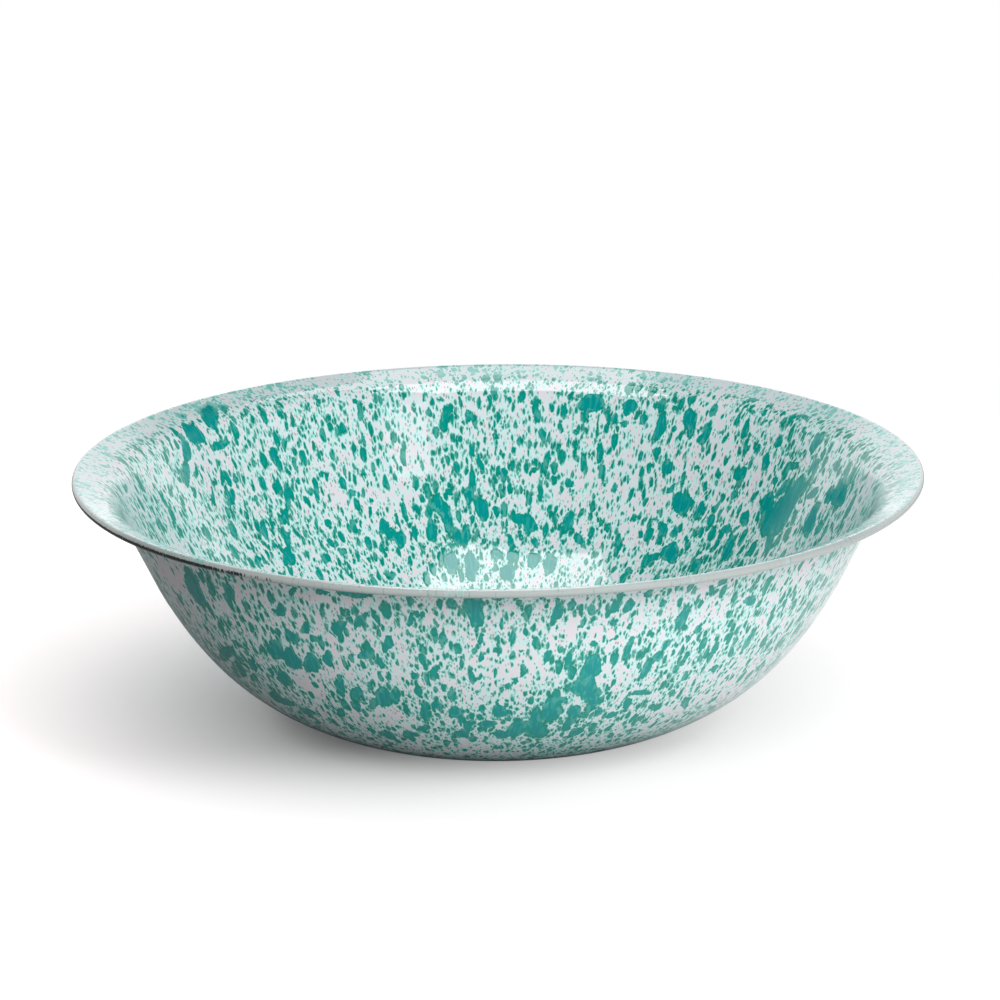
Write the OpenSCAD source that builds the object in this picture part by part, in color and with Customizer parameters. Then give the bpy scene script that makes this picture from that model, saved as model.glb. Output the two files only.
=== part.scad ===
// Enamel basin bowl: a pressed sheet steel bowl with a rolled rim, coated all over
// with a dark ground coat, a white cover coat and fused teal flecks.
// Millimetres, +Z up, origin on the table under the middle of the bowl.

/* [Bowl] */
// Diameter over the rolled rim
rim_d = 460; // [440:5:500]
// Height from the table to the top of the rim
bowl_h = 135; // [125:1:160]
// Lean of the straight upper wall from the vertical, in degrees
wall_lean = 26; // [22:1:30]

/* [Belly] */
// Radius of the long curve under the straight upper wall
upper_curve_r = 199; // [150:1:220]
// Turn of that long curve, in degrees
upper_curve_turn = 15; // [10:1:18]
// Radius of the belly
belly_curve_r = 131; // [110:1:140]
// Turn of the belly, in degrees
belly_curve_turn = 30; // [24:1:36]
// Radius of the heel, where the wall runs out into the foot
heel_curve_r = 46; // [30:1:60]

/* [Foot] */
// Width of the flat ring that the bowl stands on
foot_ring_w = 12; // [6:1:20]
// Radius of each bend round the raised middle of the base
base_bend_r = 60; // [30:1:90]
// How far the middle of the base is pressed up
base_rise = 1.2; // [0.5:0.1:2.5]

/* [Rim] */
// Width of the flange's straight part, along its slope, up to the rolled bead
flange_w = 11.6; // [8:0.2:16]
// Rise of the flange from the horizontal, in degrees
flange_rise = 20; // [10:1:26]
// Radius of the soft crease between the wall and the flange
crease_r = 20; // [14:1:26]
// Diameter of the finished bead
bead_d = 4.6; // [4.2:0.1:6]
// How far the sheet is rolled round in the bead, in degrees
curl_turn = 272; // [240:4:280]

/* [Layers] */
// Thickness of the steel sheet
sheet_t = 0.7; // [0.5:0.05:0.9]
// Thickness of the dark ground coat
ground_t = 0.15; // [0.1:0.01:0.2]
// Thickness of the white cover coat
cover_t = 0.3; // [0.2:0.01:0.35]
// How far a fused teal fleck stands proud of the white
fleck_t = 0.12; // [0.08:0.01:0.2]

/* [Flecks] */
// Length of a full size fleck, down the wall
fleck_len = 30; // [20:1:40]
// Width of a full size fleck, round the wall
fleck_w = 20; // [12:1:26]

/* [Hidden] */
$fn = 180;

// Every layer follows one line, the inner face of the steel sheet, at its own depth.
// A depth is counted towards the inside of the bowl.
coat_t = ground_t + cover_t;
outer_depth = -(sheet_t + coat_t);
bead_r = bead_d / 2;
curl_r = bead_r - coat_t;

// A step of the line is [length, 0] where it is straight and [radius, turn] where it
// bends. A turn to the left is positive. The line runs in from the bead to the axis.
heel_turn = 90 - wall_lean - upper_curve_turn - belly_curve_turn;
crease_turn = 90 - wall_lean - flange_rise;
base_bend_turn = acos(1 - base_rise / (2 * base_bend_r));

function along(a) = [cos(a), sin(a)];
function left_of(a) = [-sin(a), cos(a)];

// A place on the line is [point, heading], and a step carries it to the next one
function step_on(place, step) = step[1] == 0
    ? [place[0] + step[0] * along(place[1]), place[1]]
    : let (bend = sign(step[1]) * step[0], heading = place[1] + step[1])
        [place[0] + bend * (left_of(place[1]) - left_of(heading)), heading];
function place_after(place, steps, n) = n == 0
    ? place
    : step_on(place_after(place, steps, n - 1), steps[n - 1]);

bead_centre = [rim_d / 2 - bead_r, bowl_h - bead_r];
flange_heading = 180 + flange_rise;
flange_place = [bead_centre - curl_r * left_of(flange_heading), flange_heading];
curl_heading = flange_heading - curl_turn;
curl_place = [bead_centre - curl_r * left_of(curl_heading), curl_heading];
curl_steps = [[curl_r, curl_turn]];
flange_steps = [[flange_w, 0], [crease_r, crease_turn]];
wall_place = place_after(flange_place, flange_steps, len(flange_steps));
belly_steps = [
    [upper_curve_r, -upper_curve_turn], [belly_curve_r, -belly_curve_turn],
    [heel_curve_r, -heel_turn]
];
belly_end = place_after(wall_place, belly_steps, len(belly_steps));
foot_z = -outer_depth;
straight_w = (belly_end[0][1] - foot_z) / cos(wall_lean);
wall_steps = concat([[straight_w, 0]], belly_steps);
base_steps = [
    [foot_ring_w, 0], [base_bend_r, -base_bend_turn], [base_bend_r, base_bend_turn]
];
bowl_steps = concat(flange_steps, wall_steps, base_steps);

// Bends are drawn as chords that leave the true curve by no more than this
chord_gap = sheet_t / 35;
function chords(step) = step[1] == 0
    ? 1
    : ceil(abs(step[1]) / (2 * acos(1 - chord_gap / step[0])));

// Points of the line at one depth, up to the raised middle of the base and the axis
function offset_point(place, depth) = place[0] - depth * left_of(place[1]);
function step_points(place, step, depth) = let (n = chords(step)) [
    for (i = [1:n])
        offset_point(step_on(place, step[1] == 0 ? step : [step[0], step[1] * i / n]), depth)
];
function line_points(place, steps, depth, n = 0) = n == len(steps)
    ? [[0, offset_point(place, depth)[1]]]
    : concat(
        step_points(place, steps[n], depth),
        line_points(step_on(place, steps[n]), steps, depth, n + 1)
    );
function backwards(points) = [for (i = [len(points) - 1:-1:0]) points[i]];

// One layer between two depths, turned round the axis from a start to the middle
module layer(place, steps, low, high) {
    rotate_extrude() polygon(concat(
        [offset_point(place, high)], line_points(place, steps, high),
        backwards(line_points(place, steps, low)), [offset_point(place, low)]
    ));
}

// A layer that goes round the bead, and one that stops under the flange
module beaded_layer(low, high) {
    layer(curl_place, concat(curl_steps, bowl_steps), low, high);
}
module plain_layer(low, high) {
    layer(flange_place, bowl_steps, low, high);
}

module steel_shell() {
    color("slategray") beaded_layer(-sheet_t, 0);
}

module ground_coat_inside() {
    color([0.09, 0.12, 0.13]) beaded_layer(0, ground_t);
}

module ground_coat_outside() {
    color([0.09, 0.12, 0.13]) plain_layer(-sheet_t - ground_t, -sheet_t);
}

module white_coat_inside() {
    color([0.93, 0.91, 0.94]) beaded_layer(ground_t, coat_t);
}

module white_coat_outside() {
    color([0.93, 0.91, 0.94]) plain_layer(outer_depth, -sheet_t - ground_t);
}

// Flecks lie on the straight wall and the belly. Each is [direction round the bowl in
// degrees, share of the wall's depth under the corner where the lines of the flange and
// the wall meet, share of the full length, share of the full width].
inside_fleck_shares = [
    [151, 0.11, 0.95, 0.32], [144, 0.05, 0.45, 0.65], [145, 0.27, 0.50, 0.40],
    [134, 0.42, 0.55, 0.32], [126, 0.24, 0.35, 0.45], [109, 0.50, 0.40, 0.75],
    [100, 0.41, 0.85, 0.50], [98, 0.08, 0.40, 0.42], [94, 0.29, 0.95, 0.34],
    [96, 0.53, 0.45, 0.85], [87, 0.46, 0.60, 0.40], [83, 0.17, 0.45, 0.32],
    [75, 0.05, 0.50, 0.70], [68, 0.05, 0.32, 0.60], [77, 0.47, 0.45, 0.60],
    [62, 0.12, 0.62, 0.50], [54, 0.12, 0.45, 0.48], [55, 0.36, 0.42, 0.72],
    [53, 0.54, 0.40, 0.65], [44, 0.47, 0.42, 0.50], [33, 0.30, 1.15, 1.10],
    [21, 0.32, 0.75, 0.80], [14, 0.20, 0.50, 0.65]
];
outside_fleck_shares = [
    [217, 0.10, 0.85, 0.85], [226, 0.12, 0.50, 0.45], [235, 0.13, 0.30, 0.45],
    [232, 0.31, 0.48, 0.60], [236, 0.36, 0.38, 0.70], [241, 0.32, 0.36, 0.50],
    [245, 0.19, 0.42, 0.50], [252, 0.20, 0.42, 0.50], [250, 0.47, 0.50, 0.60],
    [257, 0.54, 0.45, 0.45], [258, 0.07, 0.55, 0.34], [266, 0.06, 0.66, 0.70],
    [274, 0.59, 0.65, 0.80], [279, 0.49, 0.50, 0.85], [285, 0.36, 1.05, 0.95],
    [288, 0.06, 0.42, 0.72], [297, 0.17, 0.50, 0.45], [308, 0.09, 0.36, 0.32]
];

// Outline of a fleck of full size one, as shares of its width and its length, with the
// long side down the wall. Turned end for end it serves as a second kind.
fleck_outline_shares = [
    [-0.12, 0.50], [0.22, 0.44], [0.36, 0.20], [0.50, -0.04], [0.38, -0.30],
    [0.10, -0.50], [-0.18, -0.46], [-0.40, -0.24], [-0.36, 0.02], [-0.50, 0.22]
];

// Place at a distance down the wall, under the crease
function step_length(step) = step[1] == 0 ? step[0] : step[0] * abs(step[1]) * PI / 180;
function part_of(step, dist) = step[1] == 0
    ? [dist, 0]
    : [step[0], step[1] * dist / step_length(step)];
function place_down(place, steps, dist, n = 0) =
    n == len(steps) - 1 || dist <= step_length(steps[n])
    ? step_on(place, part_of(steps[n], dist))
    : place_down(step_on(place, steps[n]), steps, dist - step_length(steps[n]), n + 1);
crease_reach = crease_r * tan(crease_turn / 2);
wall_w = crease_reach + straight_w + upper_curve_r * upper_curve_turn * PI / 180
    + belly_curve_r * belly_curve_turn * PI / 180 + heel_curve_r * heel_turn * PI / 180;

// Blocks that stand square through the wall where the flecks lie. The far side of the
// bowl repeats the near side's layout, half a turn round.
module fleck_blocks(flecks) {
    for (half = [0, 1], i = [0:len(flecks) - 1]) {
        f = flecks[i];
        at = place_down(wall_place, wall_steps, f[1] * wall_w - crease_reach);
        flip = i % 2 == 0 ? 1 : -1;
        rotate([0, 0, f[0] + half * 180]) translate([at[0][0], 0, at[0][1]])
            rotate([0, 180 - at[1], 0]) rotate([0, 0, 90])
            translate([0, 0, -block_t / 2]) linear_extrude(block_t) polygon([
                for (p = fleck_outline_shares)
                    [flip * p[0] * f[3] * fleck_w, flip * p[1] * f[2] * fleck_len]
            ]);
    }
}
block_t = 12 * sheet_t;

module teal_flecks_inside() {
    color([0.0, 0.53, 0.50]) intersection() {
        plain_layer(coat_t, coat_t + fleck_t);
        fleck_blocks(inside_fleck_shares);
    }
}

module teal_flecks_outside() {
    color([0.0, 0.53, 0.50]) intersection() {
        plain_layer(outer_depth - fleck_t, outer_depth);
        fleck_blocks(outside_fleck_shares);
    }
}

steel_shell();
ground_coat_inside();
ground_coat_outside();
white_coat_inside();
white_coat_outside();
teal_flecks_inside();
teal_flecks_outside();
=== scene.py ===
"""Enamel basin bowl: the glossy enamel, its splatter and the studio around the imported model."""
import math

import bpy
import numpy as np
from bpy.props import FloatProperty, FloatVectorProperty, IntProperty, PointerProperty
from mathutils import Matrix, Vector


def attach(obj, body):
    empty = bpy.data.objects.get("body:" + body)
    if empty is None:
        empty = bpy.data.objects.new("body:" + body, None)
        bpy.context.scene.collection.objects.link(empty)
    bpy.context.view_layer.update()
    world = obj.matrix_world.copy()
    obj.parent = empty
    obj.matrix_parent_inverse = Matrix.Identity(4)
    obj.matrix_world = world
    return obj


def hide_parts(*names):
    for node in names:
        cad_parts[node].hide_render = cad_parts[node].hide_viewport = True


bl_info = {
    "name": "Enamel basin bowl",
    "version": (1, 0, 0),
    "blender": (4, 5, 0),
    "location": "View3D > Sidebar > Bowl",
    "description": "Dresses the pressed steel basin bowl in white enamel with fused teal flecks",
    "category": "Object",
}

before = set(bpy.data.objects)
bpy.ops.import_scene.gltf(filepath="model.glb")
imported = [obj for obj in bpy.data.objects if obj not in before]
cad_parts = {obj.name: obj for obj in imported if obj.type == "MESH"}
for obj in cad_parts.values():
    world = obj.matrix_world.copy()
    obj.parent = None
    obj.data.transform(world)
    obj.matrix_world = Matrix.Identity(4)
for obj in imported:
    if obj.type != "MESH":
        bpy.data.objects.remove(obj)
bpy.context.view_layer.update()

MM = 0.001
FULL_TURN = 2 * math.pi


# Sizes and colours that a user may change


def size(name, about, value):
    """A length in metres, from a value in millimetres."""
    return FloatProperty(name=name, description=about, default=value * MM, unit="LENGTH", precision=5)


def angle(name, about, degrees):
    """An angle, from a value in degrees."""
    return FloatProperty(
        name=name, description=about, default=math.radians(degrees), subtype="ANGLE", unit="ROTATION"
    )


def colour(name, about, value):
    """A plain linear colour."""
    return FloatVectorProperty(
        name=name, description=about, default=value, size=3, min=0.0, max=1.0, subtype="COLOR"
    )


def grey(name, about, value):
    """A plain grey."""
    return colour(name, about, (value, value, value))


def share(name, about, value, top=1.0):
    """A plain number from nought to top."""
    return FloatProperty(name=name, description=about, default=value, min=0.0, max=top)


def metres(name, about, value):
    """A length in metres."""
    return FloatProperty(name=name, description=about, default=value, unit="LENGTH")


def watts(name, about, value):
    """The power of a lamp."""
    return FloatProperty(name=name, description=about, default=value, unit="POWER")


class BowlForm(bpy.types.PropertyGroup):
    """The same sizes as the source of the solids, in metres."""

    rim_diameter: size("Rim diameter", "Diameter over the rolled rim", 460)
    height: size("Height", "From the table to the top of the rim", 135)
    wall_lean: angle("Wall lean", "Lean of the straight upper wall from the vertical", 26)
    upper_radius: size("Upper curve radius", "Radius of the long curve under the straight wall", 199)
    upper_turn: angle("Upper curve turn", "Turn of the long curve", 15)
    belly_radius: size("Belly radius", "Radius of the belly", 131)
    belly_turn: angle("Belly turn", "Turn of the belly", 30)
    heel_radius: size("Heel radius", "Radius where the wall runs out into the foot", 46)
    foot_ring: size("Foot ring", "Width of the flat ring that the bowl stands on", 12)
    base_bend: size("Base bend", "Radius of each bend round the raised middle of the base", 60)
    base_rise: size("Base rise", "How far the middle of the base is pressed up", 1.2)
    flange_width: size("Flange width", "Width of the flange's straight part, along its slope", 11.6)
    flange_rise: angle("Flange rise", "Rise of the flange from the horizontal", 20)
    crease_radius: size("Crease radius", "Radius of the soft crease between wall and flange", 20)
    bead_diameter: size("Bead diameter", "Diameter of the finished bead", 4.6)
    curl_turn: angle("Curl turn", "How far the sheet is rolled round in the bead", 272)
    sheet: size("Sheet", "Thickness of the steel sheet", 0.7)
    ground: size("Ground coat", "Thickness of the dark ground coat", 0.15)
    cover: size("Cover coat", "Thickness of the white cover coat", 0.3)
    relief: size("Fleck relief", "How far a large fused fleck stands proud of the white", 0.09)
    around: IntProperty(name="Faces around", description="Faces round the bowl", default=560, min=64)
    hidden_seed: IntProperty(name="Seed", description="Seed of the unseen flecks", default=11)


class EnamelFinish(bpy.types.PropertyGroup):
    """Colours and grain of the enamel and of what lies under it."""

    white: colour("White", "White cover enamel", (0.82, 0.785, 0.835))
    cream: colour("Bead cream", "Thinner, greyer white on the bead", (0.43, 0.475, 0.465))
    # Mint also tints the flange, as a painted reflection
    mint: colour("Mint halo", "Teal bled into the white round a fleck", (0.62, 0.95, 0.93))
    wash: colour("Wash", "Thin teal right at a fleck's edge", (0.30, 0.74, 0.68))
    teal: colour("Teal", "Middle of a fleck", (0.0, 0.35, 0.29))
    edge: colour("Fleck edge", "Greener glass at the edge of a fleck", (0.0, 0.245, 0.18))
    deep: colour("Deep teal", "Bluer teal of the thickest flecks", (0.0, 0.30, 0.315))
    pale: colour("Pale teal", "Thin streaks in the thickest flecks", (0.03, 0.44, 0.37))
    grey: colour("Speck grey", "Smallest specks", (0.20, 0.36, 0.31))
    # The ground colour also darkens the bead's edge and underside, partly as painted shade
    dark: colour("Ground", "Dark blue-black ground coat", (0.010, 0.018, 0.018))
    ground_grain: colour("Ground grain", "Lighter grain of the ground coat", (0.022, 0.036, 0.042))
    burnt: colour("Burnt points", "Burnt-out points of the ground coat", (0.09, 0.11, 0.11))
    steel: colour("Steel", "Bare steel sheet", (0.40, 0.41, 0.43))
    scale: colour("Scale", "Scale left on the steel", (0.13, 0.13, 0.14))
    large_gap: size("Large fleck spacing", "Spacing of the larger scattered flecks", 4.6)
    small_gap: size("Small fleck spacing", "Spacing of the small flecks", 2.6)
    fine_gap: size("Fine fleck spacing", "Spacing of the fine flecks", 1.6)
    speck_gap: size("Speck spacing", "Spacing of the specks", 1.05)
    halo: size("Halo width", "How far the mint halo reaches", 0.95)
    crowding: share("Crowding", "Share of the places for flecks that hold one", 0.72)
    roughness: share("Roughness", "Roughness of the fused glass surface", 0.045)


class PhotoView(bpy.types.PropertyGroup):
    """The camera of the view in the photograph."""

    elevation: angle("Elevation", "Height of the view above the horizon", 15.76)
    roll: angle("Roll", "Turn of the camera about its own axis", -0.46)
    distance: metres("Distance", "From the camera to the target", 2.76)
    lens: FloatProperty(name="Lens", description="Focal length in mm on a 36 mm frame", default=183.3)
    target: FloatVectorProperty(
        name="Target", description="Point at the middle of the frame", size=3,
        default=(0.00106, 0.0, 0.11691), subtype="XYZ", unit="LENGTH",
    )


class Studio(bpy.types.PropertyGroup):
    """Lamps, floor and background."""

    top_power: watts("Top box", "The overhead soft box", 2.0)
    top_shine: watts("Top box shine", "The same for each square metre, where it is mirrored", 18.0)
    back_shine: watts("Far end shine", "The same for its far end", 7.5)
    side_power: watts("Side box", "The soft box on the right", 3.8)
    front_power: watts("Front box", "The low soft box in front", 1.5)
    high_power: watts("High box", "The high soft box in front", 34.0)
    back_power: watts("Back box", "The soft box behind", 16.0)
    spot_power: watts("Small box", "The small soft box in front, where it is mirrored", 1.3)
    ground_power: watts("Floor lamp", "The lamp at the right that lights the floor alone", 33.0)
    above_power: watts("Overhead floor lamp", "The lamp above that lights the floor alone", 82.0)
    fill: share("Fill", "Light of the surrounding room on matt surfaces", 0.20, 2.0)
    sweep: share("Sweep", "Brightness of the white sweep behind, where it is mirrored", 1.8, 4.0)
    dim: share("Dim room", "Brightness of the rest of the room, where it is mirrored", 0.05)
    lift: share("Floor lift", "Plain white added to the floor where it is seen", 0.10)
    floor: grey("Floor", "Plain white floor", 0.92)
    near_floor: colour("Near floor", "Evens out the teal light from the bowl", (0.95, 0.895, 0.90))
    bounce: grey("Floor bounce", "The floor as it lights the bowl from below", 0.33)
    near_bounce: grey("Near floor bounce", "The same close to the bowl", 0.66)
    far_bounce: grey("Left floor bounce", "The same at the left of the bowl", 0.17)
    right_shine: share("Right floor shine", "Brightness of the floor there, where it is mirrored", 0.85)
    right_lift: share("Right floor lift", "Plain white in the floor there, where it is seen", 0.70)
    front_lift: share("Front floor lift", "The same in front of the bowl", 0.60)
    floor_size: metres("Floor size", "Side of the floor", 24.0)
    shadow_reach: metres("Shadow reach", "Distance at which the floor turns plain white", 0.75)


# The large flecks that were read off the photograph. Each is the direction round
# the bowl in degrees from the right, counted towards the back, the distances down the wall
# at which it starts and ends, its width, and its lean in degrees where it has one. The
# distances count from the corner where the lines of the flange and the wall meet.
INSIDE_SPLASHES = [
    (139.8, -18, 8, 13, 35), (145.8, -3.5, 11.5, 15), (149.3, 2, 19, 9, 25), (151.8, 12, 34, 7.5, 35),
    (136.3, -13, -1, 7, 30), (141.5, 6, 23, 6.5, 85), (139.5, 8, 18, 5, 15), (137.2, 7, 14, 4.5, 20),
    (133.3, -4, 4, 5, 60), (133, 4, 10, 3.5, 10), (149, 19, 29, 5, 20), (144.9, 18, 24, 3, 10),
    (143.4, 26, 39, 4.5, 25), (140.5, 32, 39, 5, 30), (147.6, 35, 48, 5, 22), (143, 37, 52, 6.5, 32),
    (146, 56, 70, 6, 5), (138.5, 61, 75, 6.5, 20), (130.8, 22, 33, 6.5, 12), (128, 18, 29, 4.5, 18),
    (127.2, 30, 40, 4.5, 8), (130.6, 44, 62, 6, 12), (132.8, 56, 72, 6, 42), (127.5, 43, 48, 4),
    (125.5, 50, 56, 5.5), (127, 54, 60, 5), (124.3, 44, 62, 4.5, 10), (124, 70, 76, 6),
    (134, 71, 83, 6, 25), (135.8, 80, 95, 9, 30), (137, 93, 99, 5, 30), (124.8, 79, 90, 4.5, -30),
    (123, 88, 95, 7), (127.5, 90, 97, 5.5, 20), (122, 29, 39, 4), (122.5, 41, 47, 4.5),
    (118.8, 46, 56, 5.5), (137.8, 75, 81, 4.5, 25), (143.5, 79, 87, 6, 70), (130.5, 68, 72, 5),
    (126.5, 68, 80, 4, 5), (138.8, 45, 51, 4, 15), (137.5, 47, 53, 4, 20), (144.5, -15, -5, 6, 50),
    (149.5, -4, 3, 6, 50), (113, 10, 17, 5), (113.5, 2, 8, 4.5), (111, 6, 11, 4), (118.5, 8, 17, 4, 8),
    (117.5, 18, 26, 4, 8), (113.3, 23, 33, 3.5, 3), (114.5, 43, 52, 5), (117.5, 55, 61, 6.5),
    (114, 61, 66, 4), (105, 1, 6, 5.5), (102, 3, 10, 3.5), (101.3, 11, 20, 5, -5),
    (100.6, 22, 32, 5, -12), (99.3, 5, 10, 5), (98.3, 10, 24, 5.5, -3), (97, 13, 18, 3.5),
    (94.7, 14, 23, 6.5, -18), (93.7, 20, 28, 3.5, -15), (97.5, 30, 35, 4), (94.4, 30, 46, 4),
    (94.6, 44, 68, 4.5), (93, 39, 55, 4.5, -22), (95.4, 58, 72, 7.5), (93.2, 65, 82, 10, -10),
    (90.3, 69, 82, 5, -15), (101.2, 60, 80, 7.5, -12), (100, 66, 91, 8, -5), (99, 60, 66, 5.5),
    (102.7, 64, 76, 4, 5), (104.2, 62, 70, 5), (103.2, 77, 94, 8), (98.4, 83, 99, 6.5),
    (96.6, 82, 98, 7, 5), (106.8, 80, 92, 5), (108, 64, 82, 5), (105.8, 90, 98, 4.5),
    (112.7, 75, 85, 8), (111.5, 79, 91, 8, -50), (110, 83, 95, 9), (116.7, 82, 96, 5.5),
    (118, 79, 84, 5), (114.3, 88, 98, 4), (89.5, 9, 21, 3.5), (93, 7, 13, 3.5), (88, 6, 12, 4.5),
    (86, 2, 12, 5, 10), (83.5, 11, 24, 6, -8), (82.3, 24, 36, 5.5, -15), (90.5, 27, 34, 3.5, -25),
    (87.2, 35, 43, 3.5, -15), (89, 48, 59, 6), (91, 54, 63, 3.5, -10), (89.2, 62, 68, 4),
    (87.5, 61, 66, 4), (82.2, 55, 71, 5, -8), (84.3, 60, 75, 4.5, -18), (83.2, 46, 54, 5, 60),
    (86.2, 74, 86, 7.5, -55), (83.9, 76, 90, 9, -8), (87.5, 88, 100, 5.5, -20),
    (85.5, 86, 96, 4.5, -20), (82.5, 90, 98, 5.5), (93.2, 91, 98, 5, 60), (80, 2, 7, 5.5),
    (79, 9, 21, 5), (77, 4, 9, 5), (74.4, 3, 16, 16), (75.3, 13, 22, 6), (71.5, 10, 21, 4.5, -5),
    (70.3, 13, 23, 4.5, 5), (68, 5, 15, 11, -15), (68.5, 17, 24, 5), (65.3, 12, 21, 5.5, 8),
    (63.5, 4, 12, 4.5, -8), (62, 10, 30, 8.5, 6), (61.7, 31, 38, 6.5, 20), (64.5, 34, 42, 4, 15),
    (57, 5, 20, 9.5, -10), (56.2, 12, 26, 7, -8), (59.3, 17, 23, 4.5), (60, 5, 11, 4.5, 20),
    (53, 1, 10, 7), (53.2, 12, 27, 7.5, 8), (54.3, 20, 27, 5.5, 30), (48, 3, 14, 5),
    (49.5, 17, 24, 4.5), (45.5, 0, 5, 5.5), (73, 20, 34, 3.5), (76.5, 25, 30, 6),
    (79.3, 32, 49, 4, -20), (76.3, 34, 46, 4, -12), (74, 33, 45, 3.5, -12), (72, 30, 48, 5),
    (71.3, 42, 57, 4.5, -15), (81, 38, 46, 4.5, -20), (66, 48, 55, 4, -5), (68.5, 55, 62, 5),
    (77, 54, 61, 6.5), (59.2, 37, 48, 8), (62.5, 39, 48, 5), (61.5, 47, 60, 3.5, -10),
    (50.7, 45, 54, 5), (53.5, 38, 42, 5.5), (57.3, 51, 58, 5.5, 30), (55.5, 44, 56, 4.5),
    (54.3, 54, 70, 13.5), (50.3, 58, 71, 7, 8), (47, 63, 73, 7, -20), (46, 50, 58, 3.5),
    (76.3, 72, 88, 7.5, 5), (77.5, 82, 90, 5, -50), (73.5, 86, 97, 6, -40), (63.2, 71, 78, 4.5, -15),
    (68.2, 79, 86, 5.5), (65.2, 83, 98, 5.5, -12), (56.5, 75, 84, 8.5), (54, 75, 84, 6.5),
    (53.2, 85, 99, 13), (56.5, 93, 100, 9), (49.5, 73, 82, 4.5), (48, 73, 80, 5.5),
    (50, 80, 92, 5.5, -15), (46, 90, 99, 7, 70), (58.7, 71, 78, 4.5, -40), (61, 81, 87, 5.5, -30),
    (71.5, 84, 92, 4, -20), (43.5, -3, 4, 4.5, -20), (42.5, 2, 10, 4.5, 60), (38, 10, 20, 6.5),
    (38.3, 3, 9, 4.5, 30), (42, 17, 26, 5.5, 20), (44.5, 20, 30, 5), (33, 2, 12, 5, -15),
    (29.3, -1, 17, 7.5, 8), (27, 15, 26, 8.5, -10), (33.8, 15, 22, 3.5, 20), (32.5, 20, 30, 6, 60),
    (39.2, 22, 34, 7.5, -10), (43.5, 32, 43, 7.5, 8), (35.5, 33, 40, 5.5), (43.8, 47, 54, 6.5, -20),
    (39, 42, 54, 4.5, 20), (39.3, 56, 68, 8, -10), (30.2, 27, 70, 17.5, 8), (32.8, 31, 46, 7.5, 20),
    (35.6, 42, 58, 10.5, -10), (33.3, 46, 70, 12.5, -10), (30.5, 58, 80, 7.5, -20),
    (28.5, 62, 74, 5.5, 10), (26.8, 46, 57, 5.5, 5), (24.5, 28, 42, 7, 60), (21.3, 37, 60, 12.5),
    (17.5, 42, 56, 6.5), (15.8, 19, 35, 22), (19, 24, 38, 8.5), (21, 10, 19, 7.5), (17, 8, 20, 7.5),
    (15, 33, 39, 5.5, 30), (9.5, 16, 44, 6.5), (100.3, 99, 114, 11), (96, 98, 121, 9.5),
    (90.5, 97, 107, 7.5), (88, 107, 121, 10), (87.5, 98, 108, 6), (82.5, 99, 112, 8.5),
    (79, 99, 117, 8.5), (64.5, 104, 111, 5), (61, 104, 111, 6), (114, 108, 115, 5),
    (109, 99, 108, 4, 10), (58, 94, 106, 6, -10), (42.8, 66, 76, 7, 70), (40.2, 70, 90, 8, -15),
    (39.7, 80, 90, 8.5), (34.8, 78, 83, 5.5), (44.8, 64, 69, 3.5),
]
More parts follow.
